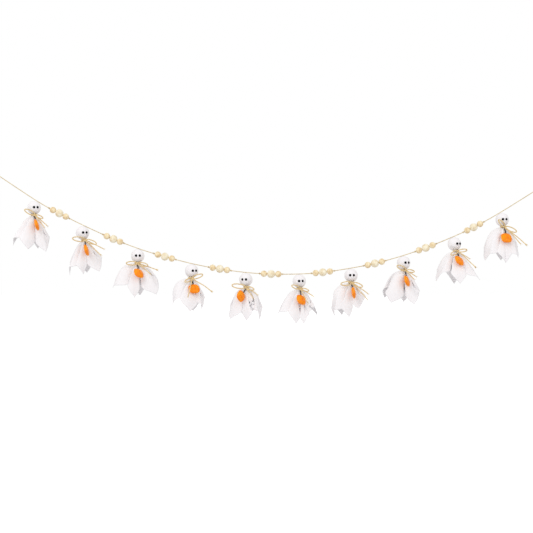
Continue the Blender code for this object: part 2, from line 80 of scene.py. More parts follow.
# Route of the string, as X and Z: first end, then by turns a ghost and a bead group, last end
STRING_ROUTE = (
    (0.0213, -0.0145),
    (0.1247, -0.0827), (0.1783, -0.1120),
    (0.2440, -0.1447), (0.3135, -0.1762),
    (0.3800, -0.2015), (0.4420, -0.2202),
    (0.5130, -0.2385), (0.5795, -0.2510),
    (0.6463, -0.2600), (0.7077, -0.2637),
    (0.7775, -0.2637), (0.8370, -0.2595),
    (0.9045, -0.2495), (0.9670, -0.2373),
    (1.0338, -0.2188), (1.0943, -0.1983),
    (1.1588, -0.1722), (1.2140, -0.1468),
    (1.2763, -0.1125),
    (1.3713, -0.0535),
)
HALVINGS = 30
SHARE_STEP = 0.01

# Beads
SMALL_BEAD_DIAMETER = 0.016
LARGE_BEAD_DIAMETER = 0.020
BORE_RADIUS = 0.0015
BORE_ROUNDING = 0.0005
BEAD_SIDES = 32
BEAD_ARC_STEPS = 18

# Ghost: a square of cloth over a ball, tied at the neck
HEAD_DIAMETER = 0.033
BALL_DIAMETER = 0.0316
BALL_GRID = (28, 18)
CLOTH_SIDE = 0.190
CLOTH_THICKNESS = 0.0004
NECK_DIAMETER = 0.010
NECK_DROP = 0.0185
NECK_LENGTH = 0.0046
PRESSED_BELLY = 0.05
BELLY_RISE = 0.7
EDGE_FLARE = 12.0
PRESS_SPREAD = 35.0
PRESS_GAP = 0.003
CLOTH_CELLS = 92
FOLD_DEPTH_LIMIT = 0.85
PLEAT_OVERLAP = 0.35
PLEAT_FULLNESS = 1.8
SIDE_TURN = 14.0
NARROW_FRONT = 60.0
NARROW_BACK = 75.0
FRONT_COSINE = 0.4
BACK_PLEATS = 5
OPEN_FROM = 0.080
HEAD_PLEATS = 7
HEAD_PLEAT_DEPTH = 0.0020
HEAD_PLEAT_START = 50.0

# Cloth simulation, at ten times the size because Blender's cloth suits larger pieces
CLOTH_SCALE = 10.0
CLOTH_FRAMES = 16
CLOTH_STARCH = 0.3
CLOTH_SETTINGS = {
    "quality": 6, "mass": 0.15, "air_damping": 3.0, "tension_stiffness": 15.0,
    "compression_stiffness": 15.0, "shear_stiffness": 6.0, "bending_stiffness": 6.0,
    "tension_damping": 10.0, "compression_damping": 10.0, "shear_damping": 10.0,
    "bending_damping": 2.0, "vertex_group_mass": "hold",
}
CLOTH_GAP = 0.01
COLLIDER_MARGIN = 0.012
COLLIDER_DAMPING = 0.5

# Eyes and the thread loop
EYE_DIAMETER = 0.0065
EYE_SPACING = 0.0093
EYE_LIFT = 2.0
EYE_SINK = 0.0008
EYE_ROUNDNESS = 0.9
THREAD_DIAMETER = 0.0008
THREAD_KNOT_DIAMETER = 0.0024
THREAD_KNOT_LENGTH = 0.0030
THREAD_END = 0.002
THREAD_STEP = 0.0004
THREAD_TURN_STEPS = 16

# Twine bow
TWINE_DIAMETER = 0.0030
BOW_KNOT_DIAMETER = 0.0066
BOW_KNOT_WIDTH = 0.0084
BOW_LOOP_WIDTH = 0.32
BOW_FORWARD = 0.008
STRAND_FRONT = 0.0018
LOOP_START = 0.12
LOOP_STEPS = 16
TAIL_START = 0.0011
TAIL_DROOP = 0.06
TAIL_WAVER = 0.035
TAIL_STEPS = 8
TAIL_TWINE_SHARE = 0.85
TAIL_KNOT = (0.0052, 0.0046, 0.0017)
TWINE_STEP = 0.001
WRAP_TURNS = 2
WRAP_STEPS = 48
WRAP_RISE = 0.0016
WRAP_TWINE_SHARE = 0.9
BOW_CORE_REACH = 0.003
BOW_CORE_DIAMETER = 0.0036
FIBRE_LENGTH = 0.006
FIBRE_DIAMETER = 0.0004
FIBRES = 7
FIBRE_ROOT = 0.001

# Pumpkin on a stem
PUMPKIN_WIDTH = 0.028
PUMPKIN_HEIGHT = 0.026
PUMPKIN_THICKNESS = 0.010
PUMPKIN_RIBS = 8
PUMPKIN_ROWS = 26
SIDES_PER_RIB = 12
GROOVE_DEPTH = 0.10
GROOVE_WIDTH = 2.2
SHOULDER = 2.6
DIMPLE_DEPTH = 0.05
DIMPLE_ROWS = 3.0
TIP_SINK = 0.06
STEM_LENGTH = 0.0145
STEM_DIAMETER = 0.0026
STEM_FOOT_DIAMETER = 0.0044
STEM_SIDES = 15
STEM_ROWS = 16
STEM_BEND = 0.0006
STEM_SINK = 1.1

# Camera, floor and lights: name, place, size and power in watts
SENSOR_WIDTH = 36.0
LENS = 85.0
CAMERA_PLACE = (0.69625, -3.146, -0.245)
LIT_POINT = Vector((0.69, 0.0, -0.25))
FLOOR_SIZE = 30.0
FLOOR_DROP = 0.62
FLOOR_GLOW = 0.75
GLOW_SHARE = 0.8
WORLD_LIGHT = 0.80
LIGHTS = (("key", (-0.9, -2.2, 1.7), 1.6, 28.0), ("fill", (2.4, -2.0, 0.8), 2.0, 12.0))

# What differs from ghost to ghost, lengths in metres and angles in degrees: face and turn of the
# bow from the front towards +X, lean of the neck towards +X, the cloth's corners (azimuth, flare
# from straight down, extra reach, belly), the bow's loops (length, direction), its tails (length,
# direction, forward slope, knotted or not), and the pumpkin (turn, roll, tilt)
GHOSTS = (
    (26, 24, -2,
     ((-95, 32, 0.0, 0.12), (-22, 25, 0.0, 0.06), (88, 18, 0.006, 0.09), (175, 22, 0.0, 0.10)),
     ((0.030, 156), (0.020, -24)), ((0.036, -45, 36, 0), (0.034, -58, 44, 0)), (66, 2, 41)),
    (30, 22, 13,
     ((-88, 20, 0.004, 0.09), (2, 22, -0.003, 0.06), (95, 41, -0.004, 0.04), (178, 24, 0.0, 0.10)),
     ((0.034, 174), (0.028, -19)), ((0.046, -25, 34, 0), (0.048, -46, 36, 0)), (60, -2, 40)),
    (8, 2, 0,
     ((-95, 44, -0.005, 0.22), (-12, 27, 0.0, 0.06), (88, 42, 0.0, 0.16), (178, 24, 0.0, 0.10)),
     ((0.027, 180), (0.027, -12)), ((0.050, -16, 34, 1), (0.042, -34, 38, 0)), (45, 12, 41)),
    (30, 18, -5,
     ((-92, 28, -0.002, 0.28), (0, 24, 0.0, 0.06), (82, 18, -0.008, 0.14), (175, 22, 0.0, 0.10)),
     ((0.027, 20), (0.022, 202)), ((0.048, -118, 46, 0), (0.054, -32, 36, 1)), (0, 4, 38)),
    (-14, -12, 5,
     ((-90, 28, -0.002, 0.24), (2, 30, -0.002, 0.06), (70, 22, -0.001, 0.18), (182, 24, 0.0, 0.10)),
     ((0.033, 172), (0.024, -14)), ((0.037, -27, 36, 0), (0.036, -43, 42, 0)), (52, -24, 45)),
    (14, 10, 3,
     ((-100, 38, -0.003, 0.14), (-25, 24, 0.0, 0.06), (30, 13, 0.0, 0.04), (125, 34, -0.008, 0.10)),
     ((0.025, 162), (0.020, -16)), ((0.034, -30, 34, 0), (0.034, -72, 52, 0)), (28, -2, 33)),
    (5, 5, 2,
     ((-150, 22, 0.0, 0.20), (-95, 24, 0.003, 0.30), (-22, 22, -0.001, 0.06), (60, 42, -0.022, 0.10)),
     ((0.029, 186), (0.027, -20)), ((0.043, -34, 40, 0), (0.050, -48, 44, 0)), (84, 4, 44)),
    (27, 20, 2,
     ((-128, 35, -0.004, 0.20), (-62, 29, 0.001, 0.18), (62, 24, 0.0, 0.13), (175, 20, -0.004, 0.10)),
     ((0.030, 158), (0.020, -10)), ((0.026, -32, 34, 0), (0.026, -52, 36, 0)), (40, -10, 36)),
    (34, 18, 13,
     ((-88, 34, 0.0, 0.19), (6, 28, 0.0, 0.06), (86, 38, 0.002, 0.03), (178, 24, 0.0, 0.10)),
     ((0.021, 8), (0.025, 200)), ((0.048, -50, 38, 1), (0.030, -34, 36, 0)), (14, -14, 44)),
    (13, 12, 8,
     ((-88, 29, 0.006, 0.23), (4, 12, 0.003, 0.06), (80, 24, -0.006, 0.14), (178, 22, 0.0, 0.10)),
     ((0.026, 140), (0.030, -24)), ((0.048, -56, 36, 0), (0.062, -41, 32, 1)), (0, -3, 31)),
)

STRING_RADIUS = STRING_DIAMETER / 2
HEAD_RADIUS = HEAD_DIAMETER / 2
NECK_RADIUS = NECK_DIAMETER / 2
TWINE_RADIUS = TWINE_DIAMETER / 2
THREAD_RADIUS = THREAD_DIAMETER / 2
KNOT_OFFSET = NECK_RADIUS + SEAT_GAP + BOW_KNOT_DIAMETER / 2
NECK_HALF_HEIGHT = TWINE_DIAMETER / 2 + SEAT_GAP
HEAD_COVER = HEAD_RADIUS * (math.pi - math.asin(NECK_DIAMETER / HEAD_DIAMETER))


# Materials


def new_material(name, colour, roughness):
    """Return a material and its node tree and shader, ready for more nodes."""
    material = bpy.data.materials.new(name)
    material.use_nodes = True
    tree = material.node_tree
    shader = tree.nodes["Principled BSDF"]
    shader.inputs["Base Color"].default_value = (*colour, 1.0)
    shader.inputs["Roughness"].default_value = roughness
    return material, tree, shader


def coordinates(tree, output="Object", scale=(1.0, 1.0, 1.0)):
    """Return a texture coordinate output, stretched by a scale for each axis."""
    source = tree.nodes.new("ShaderNodeTexCoord")
    mapping = tree.nodes.new("ShaderNodeMapping")
    mapping.inputs["Scale"].default_value = scale
    tree.links.new(source.outputs[output], mapping.inputs["Vector"])
    return mapping.outputs["Vector"]


def noise_node(tree, vector, scale, detail=4.0, roughness=0.55):
    """Return the value of a noise texture."""
    node = tree.nodes.new("ShaderNodeTexNoise")
    node.inputs["Scale"].default_value = scale
    node.inputs["Detail"].default_value = detail
    node.inputs["Roughness"].default_value = roughness
    tree.links.new(vector, node.inputs["Vector"])
    return node.outputs["Fac"]


def band_node(tree, vector, direction, scale, distortion):
    """Return the value of a sine band texture."""
    node = tree.nodes.new("ShaderNodeTexWave")
    node.bands_direction = direction
    node.inputs["Scale"].default_value = scale
    node.inputs["Distortion"].default_value = distortion
    node.inputs["Detail"].default_value = 2.0
    tree.links.new(vector, node.inputs["Vector"])
    return node.outputs["Fac"]


def colour_surface(tree, shader, value, stops):
    """Colour the shader by a value, on a ramp of (place, colour) stops."""
    node = tree.nodes.new("ShaderNodeValToRGB")
    ramp = node.color_ramp
    while len(ramp.elements) < len(stops):
        ramp.elements.new(0.5)
    for element, (place, colour) in zip(ramp.elements, stops):
        element.position = place
        element.color = (*colour, 1.0)
    tree.links.new(value, node.inputs["Fac"])
    tree.links.new(node.outputs["Color"], shader.inputs["Base Color"])


def add_values(tree, first, second, operation="ADD"):
    """Return two values joined by a maths operation."""
    node = tree.nodes.new("ShaderNodeMath")
    node.operation = operation
    tree.links.new(first, node.inputs[0])
    tree.links.new(second, node.inputs[1])
    return node.outputs["Value"]


def add_bump(tree, shader, value, distance, strength=1.0):
    """Bump the shader's surface by a value."""
    node = tree.nodes.new("ShaderNodeBump")
    node.inputs["Strength"].default_value = strength
    node.inputs["Distance"].default_value = distance
    tree.links.new(value, node.inputs["Height"])
    tree.links.new(node.outputs["Normal"], shader.inputs["Normal"])


def fibre_material(name, dark, middle, light, roughness):
    """Return a matt spun fibre: patchy along the strand, with fine hairs."""
    material, tree, shader = new_material(name, middle, roughness)
    place = coordinates(tree)
    patches = noise_node(tree, place, 260.0, 5.0, 0.6)
    hairs = noise_node(tree, place, 3200.0, 3.0, 0.7)
    colour_surface(tree, shader, patches, ((0.30, dark), (0.50, middle), (0.70, light)))
    add_bump(tree, shader, hairs, 0.0002, 0.7)
    shader.inputs["Sheen Weight"].default_value = 0.3
    shader.inputs["Sheen Roughness"].default_value = 0.5
    return material


def wood_material(name, dark, middle, light, grain_scale):
    """Return bare sanded wood, with its grain along the local X axis."""
    material, tree, shader = new_material(name, middle, 0.5)
    along = coordinates(tree, "Object", (60.0, 420.0, 420.0))
    warp = noise_node(tree, coordinates(tree), 90.0, 2.0)
    grain = noise_node(tree, along, grain_scale, 6.0, 0.6)
    joined = add_values(tree, grain, warp, "MULTIPLY")
    colour_surface(tree, shader, joined, ((0.16, dark), (0.26, middle), (0.38, light)))
    add_bump(tree, shader, grain, 0.00008, 0.5)
    shader.inputs["Coat Weight"].default_value = 0.08
    shader.inputs["Coat Roughness"].default_value = 0.4
    return material


def muslin_material():
    """Return thin white muslin: crossed threads over soft shade changes, laid out on the flat cloth."""
    material, tree, shader = new_material("muslin", (0.92, 0.89, 0.905), 0.9)
    threads = coordinates(tree, "UV", (CLOTH_SIDE, CLOTH_SIDE, 1.0))
    warp = band_node(tree, threads, "X", 330.0, 1.2)
    weft = band_node(tree, threads, "Y", 330.0, 1.2)
    weave = add_values(tree, warp, weft, "MAXIMUM")
    slubs = noise_node(tree, threads, 900.0, 3.0)
    clouds = noise_node(tree, threads, 26.0, 3.0)
    colour_surface(tree, shader, clouds,
                   ((0.35, (0.875, 0.845, 0.86)), (0.65, (0.915, 0.89, 0.90))))
    add_bump(tree, shader, add_values(tree, weave, slubs), 0.0001, 0.3)
    shader.inputs["Specular IOR Level"].default_value = 0.15
    return material


def paint_material():
    """Return glossy orange paint over shaped wood, in patches of darker and lighter orange."""
    material, tree, shader = new_material("orange_paint", (1.0, 0.30, 0.0), 0.34)
    place = coordinates(tree)
    patches = noise_node(tree, place, 120.0, 3.0)
    colour_surface(tree, shader, patches, ((0.30, (0.92, 0.20, 0.0)), (0.55, (1.0, 0.30, 0.0)),
                                           (0.80, (1.0, 0.37, 0.0))))
    add_bump(tree, shader, noise_node(tree, place, 420.0, 2.0), 0.0001, 0.35)
    shader.inputs["Specular IOR Level"].default_value = 0.2
    shader.inputs["Coat Weight"].default_value = 0.12
    shader.inputs["Coat Roughness"].default_value = 0.12
    return material


def stem_material():
    """Return a dark brown stem with grooves along it."""
    material, tree, shader = new_material("stem", (0.06, 0.025, 0.012), 0.5)
    grain = noise_node(tree, coordinates(tree, "Object", (900.0, 900.0, 90.0)), 1.0, 5.0)
    colour_surface(tree, shader, grain,
                   ((0.35, (0.015, 0.007, 0.004)), (0.65, (0.065, 0.030, 0.014))))
    add_bump(tree, shader, grain, 0.0003, 0.6)
    shader.inputs["Specular IOR Level"].default_value = 0.2
    return material


def eye_material():
    """Return glossy black plastic with the faintest surface wave."""
    material, tree, shader = new_material("black_bead", (0.004, 0.004, 0.004), 0.3)
    place = coordinates(tree)
    colour_surface(tree, shader, noise_node(tree, place, 500.0, 2.0),
                   ((0.3, (0.003, 0.003, 0.003)), (0.7, (0.006, 0.005, 0.006))))
    add_bump(tree, shader, noise_node(tree, place, 260.0, 1.0), 0.00005, 0.3)
    shader.inputs["Specular IOR Level"].default_value = 0.06
    return material


def foam_material():
    """Return the white foam of the ball inside a head."""
    material, tree, shader = new_material("white_foam", (0.85, 0.85, 0.86), 0.8)
    place = coordinates(tree)
    cells = noise_node(tree, place, 700.0, 2.0)
    colour_surface(tree, shader, cells, ((0.3, (0.80, 0.80, 0.81)), (0.7, (0.88, 0.88, 0.89))))
    add_bump(tree, shader, cells, 0.0002, 0.6)
    return material


# Pieces


def add_piece(name, mesh, material, nodes=()):
    """Link a new smooth piece that rides on the frame and may stand for CAD nodes."""
    mesh.shade_smooth()
    piece = bpy.data.objects.new(name, mesh)
    bpy.context.scene.collection.objects.link(piece)
    piece.data.materials.append(material)
    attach(piece, "root")
    if nodes:
        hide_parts(*nodes)
    return piece


def mesh_from(bm, name):
    """Turn a bmesh into a mesh with its faces outward."""
    bmesh.ops.recalc_face_normals(bm, faces=bm.faces)
    mesh = bpy.data.meshes.new(name)
    bm.to_mesh(mesh)
    bm.free()
    return mesh


def spaced(points, step):
    """Return points a step apart along a smooth curve through the given points."""
    dense = []
    for index in range(len(points) - 1):
        for part in range(CURVE_PARTS):
            dense.append(curve_point(points, index, part / CURVE_PARTS))
    dense.append(points[-1])
    lengths = [0.0]
    for near, far in zip(dense, dense[1:]):
        lengths.append(lengths[-1] + (far - near).length)
    count = max(2, round(lengths[-1] / step))
    result, index = [], 0
    for number in range(count + 1):
        goal = lengths[-1] * number / count
        while index < len(dense) - 2 and lengths[index + 1] < goal:
            index += 1
        part = (goal - lengths[index]) / max(lengths[index + 1] - lengths[index], 1e-9)
        result.append(dense[index].lerp(dense[index + 1], part))
    return result


def curve_point(points, index, share):
    """Return a point on the smooth curve, a share of the way from one point to the next."""
    last = len(points) - 1
    near, far = points[index], points[index + 1]
    before = points[index - 1] if index > 0 else 2 * near - far
    after = points[index + 2] if index + 1 < last else 2 * far - near
    return 0.5 * (2 * near + (far - before) * share
                  + (2 * before - 5 * near + 4 * far - after) * share ** 2
                  + (3 * near - before - 3 * far + after) * share ** 3)


def join_rings(bm, rings):
    """Join rings of equally many vertices by faces."""
    for near, far in zip(rings, rings[1:]):
        for corner in range(len(near)):
            following = (corner + 1) % len(near)
            bm.faces.new((near[corner], near[following], far[following], far[corner]))


def sweep(bm, points, section):
    """Skin closed sections along points; section(index, length) gives local (across, up) pairs."""
    up = Vector((0.0, 1.0, 0.0))
    rings, travelled = [], 0.0
    for index, point in enumerate(points):
        ahead = points[min(index + 1, len(points) - 1)] - points[max(index - 1, 0)]
        ahead.normalize()
        side = ahead.cross(up)
        if side.length < 0.05:
            side = ahead.orthogonal()
        side.normalize()
        up = side.cross(ahead).normalized()
        if index:
            travelled += (point - points[index - 1]).length
        rings.append([bm.verts.new(point + side * across + up * high)
                      for across, high in section(index, travelled)])
    join_rings(bm, rings)
    bm.faces.new(rings[0])
    bm.faces.new(rings[-1])


def add_strand(bm, points, diameter, plies=3, sides=12, taper=False):
    """Add a twisted strand: the plies wind round it once each lay."""
    lay = STRAND_LAY * diameter
    last = len(points) - 1

    def section(index, travelled):
        turn = math.tau * travelled / lay
        shrink = TAPER if taper and index in (0, last) else 1.0
        ring = []
        for corner in range(sides):
            angle = math.tau * corner / sides
            ply = 1 - PLY_DEPTH + PLY_DEPTH * math.cos(plies * (angle - turn))
            radius = diameter / 2 * ply * shrink
            ring.append((radius * math.cos(angle), radius * math.sin(angle)))
        return ring

    sweep(bm, points, section)


def add_knot(bm, centre, axis, length, diameter, strand):
    """Add a small tied knot: turns of a strand wound side by side round an axis."""
    axis = axis.normalized()
    side = axis.orthogonal().normalized()
    other = axis.cross(side)
    radius = (diameter - strand) / 2
    span = length - strand
    turns = max(1.5, span / strand + 0.5)
    count = round(KNOT_STEPS * turns)
    points = []
    for step in range(count + 1):
        share = step / count
        angle = math.tau * turns * share
        reach = radius * (0.8 + 0.2 * math.sin(math.pi * share))
        points.append(centre + axis * span * (share - 0.5)
                      + reach * (math.cos(angle) * side + math.sin(angle) * other))
    add_strand(bm, points, strand, sides=10, taper=True)


def add_turned(bm, matrix, profile, sides):
    """Add a closed surface turned from (radius, height) points; a radius of 0 makes a tip."""
    rings = []
    for radius, height in profile:
        if radius == 0.0:
            rings.append([bm.verts.new(matrix @ Vector((0.0, 0.0, height)))])
            continue
        rings.append([bm.verts.new(matrix @ Vector((radius * math.cos(math.tau * side / sides),
                                                    radius * math.sin(math.tau * side / sides), height)))
                      for side in range(sides)])
    for near, far in zip(rings, rings[1:]):
        for side in range(sides):
            following = (side + 1) % sides
            corners = [near[side % len(near)], near[following % len(near)],
                       far[following % len(far)], far[side % len(far)]]
            bm.faces.new(list(dict.fromkeys(corners)))
    return rings


def add_ball(bm, matrix, size, sides=24, rows=14):
    """Add an ellipsoid of the given sizes."""
    profile = [(math.sin(math.pi * row / rows) / 2 if 0 < row < rows else 0.0,
                math.cos(math.pi * row / rows) / 2) for row in range(rows + 1)]
    add_turned(bm, matrix @ Matrix.Diagonal((*size, 1.0)), profile, sides)


# String


ROUTE_POINTS = [Vector((x, 0.0, z)) for x, z in STRING_ROUTE]


def string_at(index, offset):
    """Return the point and the direction of the string at a distance from a route point."""
    span = index if offset >= 0 else index - 1
    low, high = (0.0, 1.0) if offset >= 0 else (1.0, 0.0)
    for _ in range(HALVINGS):
        share = (low + high) / 2
        if (curve_point(ROUTE_POINTS, span, share) - ROUTE_POINTS[index]).length < abs(offset):
            low = share
        else:
            high = share
    direction = (curve_point(ROUTE_POINTS, span, share + SHARE_STEP)
                 - curve_point(ROUTE_POINTS, span, share - SHARE_STEP)).normalized()
    return curve_point(ROUTE_POINTS, span, share), direction


def teardrop(length, width, steps):
    """Return points, along X and across Z, of a loop that leaves the origin and comes back."""
    points = []
    for step in range(steps + 1):
        angle = LOOP_START + (math.pi - 2 * LOOP_START) * step / steps
        points.append(Vector((length * math.sin(angle) ** 2, 0.0, width / 2 * math.sin(2 * angle))))
    return points


def make_end_loop(side, hook, end, material):
    """Build the loop and the knot at one end of the string."""
    outward = (hook - end).normalized()
    knot = end + outward * (SEAT_GAP + END_KNOT_LENGTH / 2)
    turn = Matrix.Rotation(-math.atan2(outward.z, outward.x), 4, "Y")
    place = Matrix.Translation(knot) @ turn
    length = (hook - knot).length + STRING_RADIUS
    points = [place @ point for point in teardrop(length, LOOP_WIDTH, END_LOOP_STEPS)]
    bm = bmesh.new()
    add_strand(bm, spaced(points, END_LOOP_STEP), STRING_DIAMETER)
    name = f"{side}_end_loop"
    loop = add_piece(name + "_strand", mesh_from(bm, name), material, (name,))
    bm = bmesh.new()
    add_knot(bm, knot, outward, END_KNOT_LENGTH, END_KNOT_DIAMETER, STRING_DIAMETER)
    core = [knot - outward * END_CORE_REACH, knot + outward * END_CORE_REACH]
    add_strand(bm, spaced(core, END_LOOP_STEP), END_CORE_DIAMETER)
    return [loop, add_piece(name + "_knot", mesh_from(bm, name + "_knot"), material, ())]


def make_string(material):
    """Build the string with its end loops and the knots that stop the beads."""
    points = spaced(ROUTE_POINTS, STRING_STEP)
    bm = bmesh.new()
    add_strand(bm, points, STRING_DIAMETER)
    string = add_piece("string_strand", mesh_from(bm, "string_strand"), material, ("string",))
    going = make_end_loop("left", LEFT_HOOK, ROUTE_POINTS[0], material)
    going += make_end_loop("right", RIGHT_HOOK, ROUTE_POINTS[-1], material)
    reach = bead_spacing() + SMALL_BEAD_DIAMETER / 2 + STOP_KNOT_LENGTH / 2
    for group in range(1, len(GHOSTS)):
        bm = bmesh.new()
        for offset in (-reach, reach):
            centre, direction = string_at(2 * group, offset)
            add_knot(bm, centre, direction, STOP_KNOT_LENGTH, STOP_KNOT_DIAMETER,
                     STOP_KNOT_STRAND)
        name = f"bead_group_{group}_stop_knots"
        going.append(add_piece(name, mesh_from(bm, name), material, ()))


# Beads


def bead_half_length(diameter):
    """Return half the length of a CAD bead along its bore."""
    return math.sqrt((diameter / 2) ** 2 - BORE_RADIUS ** 2)


def bead_spacing():
    """Return how far a small bead's middle is from the large one's."""
    return bead_half_length(LARGE_BEAD_DIAMETER) + SEAT_GAP + bead_half_length(SMALL_BEAD_DIAMETER)


def bead_mesh(name, diameter):
    """Return a bored ball whose bore has rounded edges."""
    radius = diameter / 2
    top = math.acos((BORE_RADIUS + BORE_ROUNDING) / radius)
    profile = []
    for step in range(BEAD_ARC_STEPS + 1):
        angle = top - 2 * top * step / BEAD_ARC_STEPS
        profile.append((radius * math.cos(angle), radius * math.sin(angle)))
    edge = radius * math.sin(top)
    profile.append((BORE_RADIUS + 0.3 * BORE_ROUNDING, -edge - 0.1 * BORE_ROUNDING))
    profile += [(BORE_RADIUS, -edge + BORE_ROUNDING), (BORE_RADIUS, edge - BORE_ROUNDING)]
    profile.append((BORE_RADIUS + 0.3 * BORE_ROUNDING, edge + 0.1 * BORE_ROUNDING))
    bm = bmesh.new()
    rings = add_turned(bm, Matrix(), profile, BEAD_SIDES)
    join_rings(bm, (rings[-1], rings[0]))
    return mesh_from(bm, name)


def make_beads(small_material, large_material):
    """Thread the beads on the string, each turned its own way so that the grain differs."""
    for group in range(1, len(GHOSTS)):
        for place, offset in (("left", -bead_spacing()), ("middle", 0.0), ("right", bead_spacing())):
            middle = place == "middle"
            name = f"bead_group_{group}_{place}"
            mesh = bead_mesh(name, LARGE_BEAD_DIAMETER if middle else SMALL_BEAD_DIAMETER)
            point, direction = string_at(2 * group, offset)
            turn = direction.to_track_quat("Z", "Y").to_matrix().to_4x4()
            spin = Matrix.Rotation(2.4 * group + 40 * offset, 4, "Z")
            bead = add_piece(name + "_turned", mesh, large_material if middle else small_material,
                             (name,))
            bead.matrix_world = Matrix.Translation(point) @ turn @ spin


# Ghosts


def heading(azimuth, flare):
    """Return the unit vector that leaves straight down by the flare, towards the azimuth."""
    around, out = math.radians(azimuth), math.radians(flare)
    return Vector((math.sin(out) * math.sin(around), -math.sin(out) * math.cos(around),
                   -math.cos(out)))


def ghost_places(number):
    """Return where a ghost's tie point, head centre and neck centre are, and the string's run."""
    tie, direction = string_at(2 * number - 1, 0.0)
    below = Vector((direction.z, 0.0, -direction.x))
    head = tie + below * (STRING_RADIUS + SEAT_GAP + HEAD_RADIUS)
    neck = head + NECK_DROP * heading(90.0, GHOSTS[number - 1][2])
    return tie, direction, head, neck


def charm_press(ghost):
    """Return the azimuth of the pumpkin, and the most that the cloth behind it may flare."""
    turn, roll, tilt = (math.radians(angle) for angle in ghost[6])
    lever = STEM_LENGTH + PUMPKIN_HEIGHT / 2
    half_depth = math.hypot(PUMPKIN_WIDTH * math.sin(turn), PUMPKIN_THICKNESS * math.cos(turn)) / 2
    sideways = math.atan2(lever * math.sin(roll) * math.cos(tilt), KNOT_OFFSET + lever * math.sin(tilt))
    spare = half_depth + PRESS_GAP
    return ghost[1] + math.degrees(sideways), math.degrees(tilt - math.asin(spare / lever))


def head_point(number, azimuth, wave, distance):
    """Return where a point of the cloth lies on the head, from its distance to the cloth's middle."""
    lean = GHOSTS[number - 1][2]
    angle = math.degrees(distance / HEAD_RADIUS)
    below = max(0.0, angle - HEAD_PLEAT_START) / (180.0 - HEAD_PLEAT_START)
    crinkle = 0.0002 * noise.noise(Vector((azimuth / 24, angle / 16, 3.7 * number)))
    radius = HEAD_RADIUS + crinkle + HEAD_PLEAT_DEPTH * (wave - 0.6) * below ** 1.5
    swing = Matrix.Rotation(math.radians(-lean), 3, "Y")
    return swing @ (radius * heading(azimuth, 180.0 - angle))


def turned_forward(azimuth):
    """Return a corner's azimuth with the corners at the sides turned a little to the front."""
    return azimuth - SIDE_TURN * math.sin(math.radians(azimuth)) * abs(math.sin(math.radians(azimuth)))


def box_pleat(share, pleats, spare, tip):
    """Return where a share of a quarter hangs, and how deep, when its spare cloth is folded in.

    The panels between the pleats lie flat outside, and each pleat widens behind their edges. Spare
    is the flat width over the hung width. Towards a corner's tip the pleats open out.
    """
    widen = min(PLEAT_FULLNESS * max(spare - 1.0, 0.0) / (4 * math.pi), PLEAT_OVERLAP)
    open_out = tip * tip * (3 - 2 * tip)
    pleated = share + widen * math.sin(4 * math.pi * pleats * share) / pleats
    nearest = round(share)
    opened = nearest + (share - nearest) * max(spare, 1.0)
    depth = 2 / math.pi * math.sqrt(max(spare - 1.0, 0.0)) / pleats
    return (pleated + (opened - pleated) * open_out,
            depth * (1 - open_out) * math.sin(math.pi * pleats * share) ** 2)


